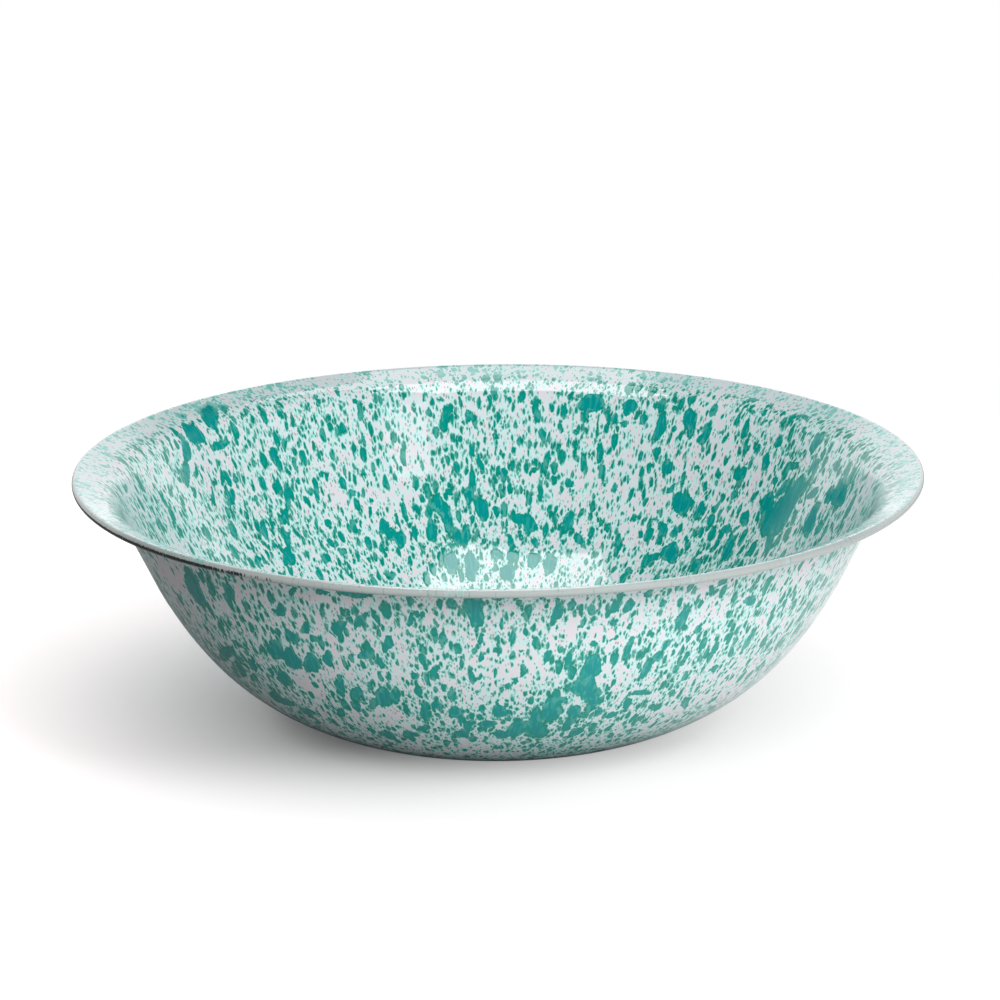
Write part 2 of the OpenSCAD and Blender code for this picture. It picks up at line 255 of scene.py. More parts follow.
OUTSIDE_SPLASHES = [
    (217.3, 6, 42, 14, -15), (221, 10, 18, 7.5), (222.3, 10, 30, 6.5, -10), (226.5, 12, 25, 9.5, -15),
    (225.3, 18, 34, 6, -5), (236, 17, 30, 7.5, -35), (230.2, 9, 15, 4.5), (228.8, 22, 34, 4.5, -20),
    (228.2, 36, 47, 5.5, -20), (239.6, 27, 40, 6.5, -35), (240.3, 36, 44, 5.5, -20),
    (239.3, 3, 14, 5, -35), (240.3, 19, 22, 4), (236.3, 36, 47, 9.5, -10), (233.7, 37, 43, 5, -15),
    (222.8, 40, 47, 5, -25), (231.6, 45, 64, 11.5, -25), (234.3, 50, 68, 12.5, -30),
    (238.2, 49, 69, 10.5, -35), (241.8, 47, 60, 7.5, -12), (230, 68, 85, 9.5, -20),
    (236.8, 72, 80, 4.5), (242.2, 61, 86, 6.5, -14), (243.5, 85, 95, 6.5, -15), (223, 67, 78, 8.5, -20),
    (222.3, 52, 64, 6, 60), (216, 52, 90, 8.5, -58), (217.3, 70, 94, 7.5, -32),
    (220.5, 80, 90, 6.5, -30), (223, 92, 108, 12.5, -40), (226, 94, 108, 8, -55),
    (229.8, 98, 114, 8, -65), (239, 92, 106, 6.5, -40), (231, 86, 92, 4.5), (249.5, 13, 31, 5.5, -42),
    (248.7, 13, 19, 4.5), (252.1, 16, 26, 4.5, 5), (245.6, 20, 38, 6.5, -35), (243.5, 12, 28, 3.5, -10),
    (253, 29, 45, 6.5, -20), (248.7, 43, 51, 8.5), (251, 46, 56, 5.5, 5), (246.2, 46, 55, 4.5),
    (257.6, -2, 14, 5), (257.2, 12, 27, 4.5, -12), (244.5, 1, 10, 7, 70), (249.5, -7, 15, 8, 88),
    (261.6, 24, 40, 5, -3), (258.3, 34, 45, 5, 5), (263.4, 2, 11, 7.5, 15), (264.5, 10, 18, 3.5, 10),
    (266.6, -4, 25, 11), (269.8, 0, 5, 8.5), (261, 10, 16, 3.5, 10), (259, 13, 18, 3.5),
    (267.3, 26, 37, 3.5), (267.3, 38, 49, 4), (272, 21, 40, 4.5, -8), (270, 34, 45, 4, 10),
    (269.7, 26, 33, 3.5), (272.8, 5, 14, 3.5, 10), (273.3, 38, 42, 4), (278.3, 4, 23, 7, -5),
    (265.5, 50, 64, 5, 8), (266.8, 54, 63, 4, -30), (273.7, 46, 60, 4.5, 5), (277.3, 38, 50, 5.5, -10),
    (271.5, 61, 69, 4.5), (272.5, 57, 65, 4), (262, 48, 55, 3.5), (259.8, 48, 60, 5, -25),
    (258.3, 56, 66, 4.5), (256.3, 56, 62, 6), (262.2, 65, 80, 5.5, 5), (260.8, 63, 70, 4.5),
    (256.5, 64, 79, 4.5, -8), (250, 66, 90, 9.5, -10), (252.2, 66, 86, 6.5, -15),
    (247.8, 76, 92, 6.5, -30), (244.8, 70, 86, 7.5, -25), (253.5, 80, 92, 4.5, 10),
    (256.6, 78, 100, 6.5, -8), (259.3, 78, 85, 9), (262.3, 80, 94, 8.5), (264, 94, 106, 6.5, 10),
    (259, 88, 94, 4.5), (267, 78, 88, 4.5), (267.6, 93, 103, 9.5), (270, 79, 93, 8.5),
    (271.5, 90, 96, 4.5), (273, 92, 114, 9.5, -5), (276.3, 80, 116, 8.5), (262.8, 102, 114, 9.5),
    (255.4, 98, 112, 6.5, -50), (270.5, 103, 114, 10), (246.8, 110, 124, 9.5, -15),
    (252, 106, 120, 8, -60), (280.3, 4, 15, 5.5), (283.3, 8, 19, 5.5, 8), (282.3, 17, 26, 4.5, 5),
    (286.8, 6, 19, 5.5, 5), (288.8, 8, 19, 6.5, -15), (285.8, 12, 22, 3.5), (291.5, 0, 11, 5, 5),
    (294.2, 11, 18, 5), (298, 1, 10, 4.5), (302, 6, 16, 5.5, 15), (303.5, 2, 10, 6.5),
    (298.3, 16, 37, 7.5), (287, 20, 28, 5.5, 10), (301.8, 34, 41, 6.5, 10), (293.7, 32, 39, 3.5),
    (307.3, 26, 36, 4.5), (290.2, 33, 56, 5.5), (280.8, 38, 60, 5, 3), (279.5, 38, 43, 5.5),
    (284.3, 35, 40, 5.5), (284.6, 43, 66, 11.5), (285, 56, 84, 9.5, 3), (283, 60, 76, 8.5),
    (286.4, 70, 92, 7.5, -3), (283.3, 82, 96, 8.5), (283, 94, 104, 7.5), (279, 71, 101, 10.5),
    (280.5, 74, 82, 7.5), (296.8, 40, 50, 5.5, -15), (295.6, 47, 57, 7.5, -45),
    (294.3, 52, 69, 6.5, -8), (293, 78, 94, 5.5, 15), (291, 91, 101, 7, -40), (295.2, 70, 88, 6, 70),
    (301.2, 48, 64, 4.5, -15), (300.4, 56, 70, 4.5, -15), (306.5, 53, 66, 4.5, 8),
    (311.2, 52, 69, 5, 20), (309, 67, 75, 5.5, 30), (314.5, 46, 60, 5.5, -10), (310.5, 19, 31, 7, 70),
    (303, 68, 76, 6.5, 30), (302, 80, 90, 4.5, 10), (299.5, 88, 102, 5.5, 60), (307, 90, 106, 6.5, 30),
    (285, 103, 117, 7.5, -10), (277.6, 98, 116, 9.5, -15), (288, 86, 96, 5.5),
]
# Stretches of direction that the two tables cover, in degrees
INSIDE_SEEN = (8, 156)
OUTSIDE_SEEN = (211, 318)
# Wider stretches, up to the edges of the view, where no other large fleck is laid
INSIDE_CLEAR = (-6, 196)
OUTSIDE_CLEAR = (200, 336)
# Seeds of the finish on each side
INSIDE_SEED = 1
OUTSIDE_SEED = 2
# How many large flecks are made up, for each unseen degree and on each face of the base
INSIDE_PER_DEGREE = 1.1
OUTSIDE_PER_DEGREE = 0.95
BASE_FLECKS = 60
# Distances down the wall, in millimetres: where the tables hold, where a fleck may stand
# proud, and past which the photograph shows nothing
READ_ROWS = ((-20, -6), (96, 116))
PROUD_ROWS = ((0, 6), (120, 130))
BASE_START = 135.0
# How far inside a large fleck a point counts where there is none near, in millimetres
NO_SPLASH = -9.0
# Stretches where the small flecks crowd together or thin out: the direction, the distance
# down the wall, the reach round and down in millimetres, and how much is added
INSIDE_CROWDS = [
    (98, 82, 60, 22, 0.22), (28, 45, 50, 40, 0.2), (104, 28, 26, 36, -0.12), (66, 48, 30, 26, -0.18),
    (46, 32, 24, 20, -0.2), (120, 62, 14, 16, -0.35), (150, 60, 30, 24, 0.15),
]
OUTSIDE_CROWDS = [
    (272, 98, 80, 24, 0.26), (220, 66, 30, 30, 0.3), (249, 100, 22, 12, -0.5), (235, 77, 14, 8, -0.6),
    (312, 92, 40, 20, -0.3), (209, 26, 22, 34, -0.5), (284, 30, 20, 8, -0.4), (270, 50, 24, 14, -0.25),
]


# Shapes


class SheetLine:
    """The inner face of the steel from the curl's end in to the axis, as one line.

    A step is a length and a turn. Along a step of curvature k = turn / length, the
    heading is h = h0 + k t, and the place is p0 + ((sin h - sin h0) / k,
    (cos h0 - cos h) / k), or p0 + t (cos h0, sin h0) where the step is straight.
    """

    def __init__(self, form):
        bead = form.bead_diameter / 2
        self.coat = form.ground + form.cover
        curl = bead - self.coat
        crease_turn = math.pi / 2 - form.wall_lean - form.flange_rise
        heel_turn = math.pi / 2 - form.wall_lean - form.upper_turn - form.belly_turn
        bend_turn = math.acos(1 - form.base_rise / (2 * form.base_bend))
        self.outer = -(form.sheet + self.coat)
        flange_heading = math.pi + form.flange_rise
        start_heading = flange_heading - form.curl_turn
        middle = np.array([form.rim_diameter / 2 - bead, form.height - bead])
        start = middle - curl * np.array([-math.sin(start_heading), math.cos(start_heading)])
        bends = {
            "curl": (curl * form.curl_turn, form.curl_turn),
            "flange": (form.flange_width, 0.0),
            "crease": (form.crease_radius * crease_turn, crease_turn),
            "wall": (0.0, 0.0),
            "upper": (form.upper_radius * form.upper_turn, -form.upper_turn),
            "belly": (form.belly_radius * form.belly_turn, -form.belly_turn),
            "heel": (form.heel_radius * heel_turn, -heel_turn),
            "foot": (form.foot_ring, 0.0),
            "rise": (form.base_bend * bend_turn, -bend_turn),
            "settle": (form.base_bend * bend_turn, bend_turn),
            "floor": (0.0, 0.0),
        }
        self.names = list(bends)
        self.length = np.array([step[0] for step in bends.values()])
        self.turn = np.array([step[1] for step in bends.values()])
        self._walk(start, start_heading)
        wall, foot = self.names.index("wall"), self.names.index("foot")
        drop = self.start[foot][1] + self.outer
        self.length[wall] = -drop / math.sin(self.heading[wall])
        self._walk(start, start_heading)
        self.length[-1] = self.start[-1][0]
        self._walk(start, start_heading)
        self.curl_length = self.length[0]
        crease_reach = form.crease_radius * math.tan(crease_turn / 2)
        self.corner = self.begin[wall] - crease_reach
        self.total = self.begin[-1] + self.length[-1]

    def _walk(self, start, heading):
        self.begin = np.concatenate([[0.0], np.cumsum(self.length)[:-1]])
        self.heading = heading + np.concatenate([[0.0], np.cumsum(self.turn)[:-1]])
        self.curve = np.divide(
            self.turn, self.length, out=np.zeros_like(self.turn), where=self.length > 0
        )
        moves = self._move(self.heading, self.curve, self.length)
        self.start = np.array(start) + np.concatenate([[[0.0, 0.0]], np.cumsum(moves, 0)[:-1]])

    @staticmethod
    def _move(heading, curve, t):
        bent = np.abs(curve) > 1e-9
        safe = np.where(bent, curve, 1.0)
        after = heading + curve * t
        x = np.where(bent, (np.sin(after) - np.sin(heading)) / safe, t * np.cos(heading))
        y = np.where(bent, (np.cos(heading) - np.cos(after)) / safe, t * np.sin(heading))
        return np.stack([x, y], -1)

    def at(self, s, depth):
        """Distance from the axis and height, at distances s along the line, at a depth
        counted towards the food: p - depth (-sin h, cos h)."""
        k = np.clip(np.searchsorted(self.begin, s, "right") - 1, 0, len(self.begin) - 1)
        t = s - self.begin[k]
        place = self.start[k] + self._move(self.heading[k], self.curve[k], t)
        heading = self.heading[k] + self.curve[k] * t
        return place[..., 0] + depth * np.sin(heading), place[..., 1] - depth * np.cos(heading)

    def stations(self, counts, first):
        """Distances along the line, with a number of even parts for each step from first on."""
        parts = [
            self.begin[k] + self.length[k] * np.arange(counts[n]) / counts[n]
            for k, n in enumerate(self.names) if k >= self.names.index(first)
        ]
        return np.concatenate(parts + [[self.total]])


# Even parts of each step of the line, for the finished face and for the hidden one
FINE = dict(curl=16, flange=9, crease=5, wall=20, upper=22, belly=30, heel=8, foot=4, rise=3,
            settle=3, floor=5)
COARSE = dict(curl=7, flange=1, crease=3, wall=1, upper=4, belly=7, heel=2, foot=1, rise=2,
              settle=2, floor=1)


def turned_skin(name, rows_r, rows_z, a):
    """A closed skin turned round the axis: the point at row i and column j is
    (r_ij cos a_j, r_ij sin a_j, z_ij). The first and the last row lie on the axis and
    become one point each."""
    rows, columns = rows_r.shape
    ring = np.stack([rows_r * np.cos(a), rows_r * np.sin(a), rows_z], -1)
    body = ring[1:-1].reshape(-1, 3)
    points = np.concatenate([[ring[0].mean(0)], body, [ring[-1].mean(0)]])
    index = 1 + np.arange((rows - 2) * columns).reshape(rows - 2, columns)
    after = np.roll(index, -1, 1)
    quads = np.stack([index[:-1], index[1:], after[1:], after[:-1]], -1).reshape(-1, 4)
    last = len(points) - 1
    first_fan = np.stack([np.zeros(columns, int), index[0], after[0]], -1)
    last_fan = np.stack([np.full(columns, last), after[-1], index[-1]], -1)
    mesh = bpy.data.meshes.new(name)
    loops = np.concatenate([quads.ravel(), first_fan.ravel(), last_fan.ravel()])
    sizes = np.concatenate([np.full(len(quads), 4), np.full(2 * columns, 3)])
    starts = np.concatenate([[0], np.cumsum(sizes)[:-1]])
    mesh.vertices.add(len(points))
    mesh.vertices.foreach_set("co", points.astype(np.float32).ravel())
    mesh.loops.add(len(loops))
    mesh.loops.foreach_set("vertex_index", loops.astype(np.int32))
    mesh.polygons.add(len(sizes))
    mesh.polygons.foreach_set("loop_start", starts.astype(np.int32))
    mesh.polygons.foreach_set("use_smooth", np.ones(len(sizes), bool))
    mesh.update(calc_edges=True)
    mesh.validate()
    obj = bpy.data.objects.new(name, mesh)
    bpy.context.scene.collection.objects.link(obj)
    return obj


def on_points(grid):
    """A grid's values in the order of a turned skin's points: a pole, the rows, a pole."""
    flat = grid[1:-1].reshape((-1,) + grid.shape[2:])
    return np.concatenate([grid[:1].mean(1), flat, grid[-1:].mean(1)]).astype(np.float32)


def keep_values(obj, name, grid):
    """Stores a number or a vector at each point of a turned skin."""
    vector = grid.ndim == 3
    kind, field = ("FLOAT_VECTOR", "vector") if vector else ("FLOAT", "value")
    held = obj.data.attributes.new(name, kind, "POINT")
    held.data.foreach_set(field, on_points(grid).ravel())


# Waves in a large fleck's outline: the height of each, as a share, and how many go round
FLECK_WAVES = ((0.10, 2), (0.09, 3), (0.05, 5))
# How far above and below a large fleck its field is worked out, in millimetres
FIELD_MARGIN = 14
# The made-up large flecks: the least width and what the widest has more, in millimetres, and
# the least and greatest length for that width, on the wall and on the base
LEAST_WIDTH = 3.8
WALL_FLECK = (11, (1.2, 2.9))
BASE_FLECK = (8, (1.1, 2.2))
# Where groups of them have their middles, how deep they spread, the highest and lowest
# starts of a fleck, and how far out they lie on the base, in millimetres
GROUP_MIDDLES = (0, 90)
GROUP_DEPTH = 24
FLECK_TOPS = (-8, 100)
BASE_REACH = 92
# Degrees for each group, its spread round the bowl as a share of what isn't seen, and the
# spread of the lean in degrees
GROUP_SPAN = 14
GROUP_WIDTH = 0.035
HIDDEN_LEAN = 12


def ease(x, low, high):
    """Smooth step from nought at low to one at high: t t (3 - 2 t)."""
    t = np.clip((x - low) / (high - low), 0, 1)
    return t * t * (3 - 2 * t)


def between(x, low, high):
    """One between two stretches, with a smooth step up over low and down over high."""
    return ease(x, *low) * (1 - ease(x, *high))


def turned_from(around, azimuth):
    """Angles from a direction in degrees, from minus to plus half a turn."""
    return (around - math.radians(azimuth) + np.pi) % FULL_TURN - np.pi


def splash_field(splashes, down, around, radius, rng):
    """How far each point lies inside a large fleck, in millimetres.

    A fleck of length l and width w gives (1 - q) min(l, w) / 2 with
    q = sqrt((2 u / l)^2 + (2 v / w)^2) (1 + small waves of the direction), where u runs
    down the wall and v round it. The deepest fleck counts."""
    field = np.full((len(down), len(around)), NO_SPLASH)
    for azimuth, top, end, width, *lean in splashes:
        length, middle = end - top, (top + end) / 2
        near = np.abs(down - middle) < length / 2 + FIELD_MARGIN
        if not near.any():
            continue
        u = (down[near] - middle)[:, None]
        v = turned_from(around, azimuth)[None, :] * radius[near][:, None]
        lean = math.radians(sum(lean))
        c, s = math.cos(lean), math.sin(lean)
        p, q = (c * u + s * v) * 2 / length, (c * v - s * u) * 2 / width
        way = np.arctan2(q, p)
        phases = rng.uniform(0, FULL_TURN, len(FLECK_WAVES))
        waves = sum(a * np.sin(n * way + f) for (a, n), f in zip(FLECK_WAVES, phases))
        depth = (1 - np.hypot(p, q) * (1 + waves)) * min(length, width) / 2
        field[near] = np.maximum(field[near], depth)
    return field


def crowd_field(crowds, down, around, radius):
    """The sum of amount exp(-(u / h)^2 - (v / w)^2) over the crowded stretches, where u
    runs down the wall and v round it."""
    field = np.zeros((len(down), len(around)))
    for azimuth, middle, w, h, amount in crowds:
        u = (down - middle)[:, None]
        v = turned_from(around, azimuth)[None, :] * radius[:, None]
        field += amount * np.exp(-((u / h) ** 2) - (v / w) ** 2)
    return field


def directions(columns, seen):
    """Directions of the columns, half as far apart over the seen stretch as elsewhere."""
    low, high = np.radians(seen)
    ends = np.array([0.0, low, high, FULL_TURN])
    weight = np.append(0.0, np.cumsum(np.diff(ends) * np.array([1.0, 2.0, 1.0])))
    return np.interp(np.arange(columns) * weight[-1] / columns, weight, ends)


def made_up_fleck(rng, widen, lengthen):
    """Width and length of a made-up large fleck in millimetres, mostly a small one."""
    width = LEAST_WIDTH + widen * rng.random() ** 3
    return width, width * rng.uniform(*lengthen)


def hidden_splashes(rng, clear, per_degree):
    """Large flecks, in loose groups, for the directions that the photograph doesn't show."""
    span = 360 - (clear[1] - clear[0])
    groups = [(rng.random(), rng.uniform(*GROUP_MIDDLES)) for _ in range(span // GROUP_SPAN)]
    rows = []
    for _ in range(int(span * per_degree)):
        part, middle = groups[rng.integers(len(groups))]
        width, length = made_up_fleck(rng, *WALL_FLECK)
        top = min(max(middle + rng.normal(0, GROUP_DEPTH), FLECK_TOPS[0]), FLECK_TOPS[1])
        azimuth = clear[1] + span * ((part + rng.normal(0, GROUP_WIDTH)) % 1.0)
        rows.append((azimuth, top, top + length, width, rng.normal(0, HIDDEN_LEAN)))
    return rows


def base_splashes(rng, axis, count):
    """Large flecks, spread evenly over the base, whose middle lies at a distance down the
    wall called axis."""
    rows = []
    for _ in range(count):
        width, length = made_up_fleck(rng, *BASE_FLECK)
        middle = axis - BASE_REACH * math.sqrt(rng.uniform(0.08, 1.0))
        azimuth, lean = 360 * rng.random(), rng.uniform(-90, 90)
        rows.append((azimuth, middle - length / 2, middle + length / 2, width, lean))
    return rows


# How the scattered flecks' places slow down: round the bowl by a share, over a stretch of
# the radius in millimetres, and down the wall
SLOWED_ROUND = 0.55
SLOWING = (90, 150)
SLOW_DOWN = 0.29


def place_grid(down, radius, around):
    """Places for the scattered flecks: (q cos a, q sin a, h). The radius q follows the
    real radius r on the base and grows by less than half of it up the wall, and h grows
    slowly, so that a fleck comes out longer down the wall than it is wide."""
    middle = (radius[1:] + radius[:-1]) / 2
    steps = np.diff(radius) * (1 - SLOWED_ROUND * ease(middle, *SLOWING))
    q = radius[-1] - np.append(np.cumsum(steps[::-1])[::-1], 0.0)
    h = np.append(0.0, np.cumsum(SLOW_DOWN * np.abs(np.diff(down))))
    sides = (q, np.cos(around)), (q, np.sin(around)), (h, np.ones_like(around))
    return np.stack([np.outer(rows, columns) for rows, columns in sides], -1)


# Stretches of direction where the bead's edge is painted dark, in degrees, and those of the
# bead's roll. The dark is partly the ground coat showing and partly painted shade of the
# bead's underside.
BARE_AND_SHADED_FRONT_LEFT = ((172, 186), (222, 250))
BARE_AND_SHADED_BACK_LEFT = ((60, 80), (96, 118))
BARE_AND_SHADED_RIGHT_START, BARE_AND_SHADED_RIGHT_END = (342, 352), (2, 10)
BARE_AND_SHADED_ROLL = ((84, 106), (146, 172))
# Over these stretches a large fleck rises, in millimetres inside its edge, and the tables'
# hold on the scattered flecks fades, in degrees
RELIEF_EDGE = (-0.6, 1.4)
READ_FADE = 6


def line_values(line, along, down, radius, around):
    """The values of the enamel's material that follow from a place on the line and a
    direction: places for the scattered flecks, the bead's roll in degrees, the distance
    down the wall in millimetres, and how dark the bead's edge is painted, partly for the
    ground coat showing and partly as painted shade of the bead's underside."""
    rolled = np.clip(1 - along / line.curl_length, 0, 1) * math.degrees(line.turn[0])
    wide, degrees = np.ones(len(around)), np.degrees(around)
    past = (1 - ease(degrees, *BARE_AND_SHADED_RIGHT_END)) * (degrees < 180)
    right = ease(degrees, *BARE_AND_SHADED_RIGHT_START) + past
    # Painted shade at the bead's edge, partly the dark ground coat showing, stronger on some sides
    bare_and_shaded = between(degrees, *BARE_AND_SHADED_FRONT_LEFT) + 0.65 * right + 0.5 * between(degrees, *BARE_AND_SHADED_BACK_LEFT)
    return {
        "spread": place_grid(down, radius, around),
        "rolled": np.outer(rolled, wide),
        "down": np.outer(down, wide),
        "bare_and_shaded_edge": np.outer(between(rolled, *BARE_AND_SHADED_ROLL), 0.18 + 0.82 * np.clip(bare_and_shaded, 0, 1)),
    }


def build_skin(name, line, first, face, hidden, splashes, crowds, seen, seed):
    """A thin closed skin of enamel from the step called first to the axis, between the
    depths of its finished face and of the coat under it. Large flecks stand proud of the
    face by relief times a smooth step of their field."""
    form = bpy.context.scene.bowl_form
    front, back = line.stations(FINE, first), line.stations(COARSE, first)[::-1]
    around = directions(form.around, seen)
    down = (front - line.corner) / MM
    radius = line.at(front, 0.0)[0] / MM
    rng = np.random.default_rng(seed)
    field = splash_field(splashes, down, around, radius, rng)
    on_base = splash_field(base_splashes(rng, down[-1], BASE_FLECKS), down, around, radius, rng)
    field = np.maximum(field, np.where(down[:, None] > BASE_START, on_base, NO_SPLASH))
    ends = (seen[0], seen[0] + READ_FADE), (seen[1] - READ_FADE, seen[1])
    read = between(np.degrees(around), *ends)
    values = {
        "splash": field,
        "crowd": crowd_field(crowds, down, around, radius),
        "read": np.outer(between(down, *READ_ROWS), read),
    }
    values |= line_values(line, front, down, radius, around)
    way = 1 if face > hidden else -1
    proud = form.relief * ease(field, *RELIEF_EDGE) * between(down, *PROUD_ROWS)[:, None] * way
    front_r, front_z = line.at(front[:, None], face + proud)
    back_r, back_z = line.at(back[:, None], np.full((len(back), form.around), hidden))
    rows_r, rows_z = np.concatenate([back_r, front_r]), np.concatenate([back_z, front_z])
    obj = turned_skin(name, rows_r[::way], rows_z[::way], around)
    for key, grid in values.items():
        unseen = np.full((len(back), *grid.shape[1:]), NO_SPLASH if key == "splash" else 0.0)
        keep_values(obj, key, np.concatenate([unseen, grid])[::way])
    return obj


# Materials


class Level:
    """A socket's value. Python's operators on it add Math nodes to its recipe."""

    def __init__(self, recipe, socket):
        self.recipe, self.socket = recipe, socket

    def _math(self, operation, *values):
        return self.recipe.node("ShaderNodeMath", {"operation": operation}, dict(enumerate(values)))

    def __add__(self, other):
        return self._math("ADD", self, other)

    __radd__ = __add__

    def __sub__(self, other):
        return self._math("SUBTRACT", self, other)

    def __rsub__(self, other):
        return self._math("SUBTRACT", other, self)

    def __mul__(self, other):
        return self._math("MULTIPLY", self, other)

    __rmul__ = __mul__

    def __pow__(self, other):
        return self._math("POWER", self, other)

    def most(self, other):
        return self._math("MAXIMUM", self, other)

    def least(self, other):
        return self._math("MINIMUM", self, other)

    def ease(self, low, high):
        """Smooth step from nought at low to one at high."""
        return self.recipe.node(
            "ShaderNodeMapRange", {"interpolation_type": "SMOOTHSTEP", "clamp": True},
            {"Value": self, "From Min": low, "From Max": high},
        )


class Recipe:
    """The nodes of a material or a world, added one by one."""

    def __init__(self, owner):
        self.owner = owner
        owner.use_nodes = True
        self.tree = owner.node_tree
        self.tree.nodes.clear()

    def node(self, kind, settings=None, inputs=None, out=0):
        """Adds a node, sets its settings first and then its sockets, and gives one output."""
        made = self.tree.nodes.new(kind)
        for key, value in (settings or {}).items():
            setattr(made, key, value)
        for key, value in (inputs or {}).items():
            if isinstance(value, Level):
                self.tree.links.new(value.socket, made.inputs[key])
            else:
                made.inputs[key].default_value = value
        return Level(self, made.outputs[out]) if len(made.outputs) else None

    def held(self, name, out="Fac"):
        return self.node(
            "ShaderNodeAttribute", {"attribute_type": "GEOMETRY", "attribute_name": name}, out=out
        )

    def other(self, level, out):
        """Another output of the node that a level comes from."""
        return Level(self, level.socket.node.outputs[out])

    def blend(self, factor, first, second):
        """Runs from a first colour to a second one as a factor grows."""
        ends = [c if isinstance(c, Level) else (*c, 1.0) for c in (first, second)]
        settings = {"data_type": "RGBA", "clamp_factor": True}
        return self.node("ShaderNodeMix", settings, {0: factor, 6: ends[0], 7: ends[1]}, out=2)

    def vector(self, operation, first, second=(0, 0, 0), out="Vector"):
        inputs = {0: first, 1: second}
        return self.node("ShaderNodeVectorMath", {"operation": operation}, inputs, out)

    def scaled(self, vector, by):
        return self.node("ShaderNodeVectorMath", {"operation": "SCALE"}, {0: vector, "Scale": by})

    def drift(self, place, scale, by):
        """A vector that wanders round nought, by up to half of a distance each way."""
        noise = self.noise(place, scale, 1.0, out="Color")
        return self.scaled(self.vector("SUBTRACT", noise, (0.5, 0.5, 0.5)), by)

    def noise(self, place, scale, detail=2.0, rough=0.5, out="Fac"):
        inputs = {"Vector": place, "Scale": scale, "Detail": detail, "Roughness": rough}
        return self.node("ShaderNodeTexNoise", {"noise_dimensions": "3D"}, inputs, out)

    def object_place(self):
        return self.node("ShaderNodeTexCoord", out="Object")

    def finish(self, surface, kind="ShaderNodeOutputMaterial"):
        self.node(kind, inputs={"Surface": surface})
        return self.owner

    def surface(self, base, rough, height, strength, distance, more):
        """Ends a material with a colour, a roughness, a bump of a height, and more sockets."""
        bump = {"Strength": strength, "Distance": distance, "Height": height}
        normal = self.node("ShaderNodeBump", inputs=bump, out="Normal")
        sockets = {"Base Color": base, "Roughness": rough, "Normal": normal}
        return self.finish(self.node("ShaderNodeBsdfPrincipled", inputs=sockets | more))


# Stretches over which the enamel changes: for a fleck, in millimetres inside its edge
PAINT_EDGE = (-0.22, 0.26)
WASH_EDGE = (-0.42, 0.0)
SPECK_EDGE = (-0.10, 0.10)
FLECK_MIDDLE = (0.10, 0.85)
FLECK_SWELL = (-0.5, 1.0)
THICK_GLASS = (0.4, 2.2)
# For the bead, in degrees of its roll, and for the flange, in millimetres down the wall
BEAD_START = (20.0, 60.0)
BEAD_TOP_END = (190.0, 215.0)
# The roll over which the bead's underside is darkened: partly the ground coat, partly painted shade
BEAD_UNDERSIDE = (196.0, 226.0)
# The flange, paled by painted reflection, ends over this stretch
FLANGE_END = (-12.0, -2.0)
# Reach of a layer's smallest fleck, in cells, and what counts as no fleck, in millimetres
SMALLEST = 0.16
NO_FLECK = -4.0
# Distance of a bump of full height on the ground coat and the steel, in metres
FINE_BUMP = 0.0001
GLASS_IOR = 1.5


def fleck_layer(recipe, place, shift, gap, crowd, largest, bias):
    """Scattered flecks, one at most in each cell of a spacing called gap. Their radius
    runs up to largest, in cells, and a greater bias makes large ones rarer. Gives how far
    a point lies inside a fleck, in millimetres."""
    cells = recipe.node(
        "ShaderNodeTexVoronoi", {"voronoi_dimensions": "3D", "feature": "F1"},
        {"Vector": recipe.vector("ADD", place, shift), "Scale": MM / gap, "Randomness": 1.0},
        out="Distance",
    )
    chance = recipe.node(
        "ShaderNodeSeparateColor", inputs={"Color": recipe.other(cells, "Color")}, out="Red"
    )
    there = (crowd - chance).ease(0.0, 0.02)
    radius = SMALLEST + (largest - SMALLEST) * recipe.other(chance, "Green") ** bias
    return (radius - cells) * (gap / MM) * there + NO_FLECK * (1.0 - there)


def fused_glass(recipe, place, fineness, base, height):
    """Glossy glass whose gloss is slightly uneven, with a height in millimetres."""
    middle = bpy.context.scene.enamel_finish.roughness
    rough = recipe.noise(place, fineness) * 0.04 + (middle - 0.02)
    return recipe.surface(base, rough, height, 1.0, MM, {"IOR": GLASS_IOR})


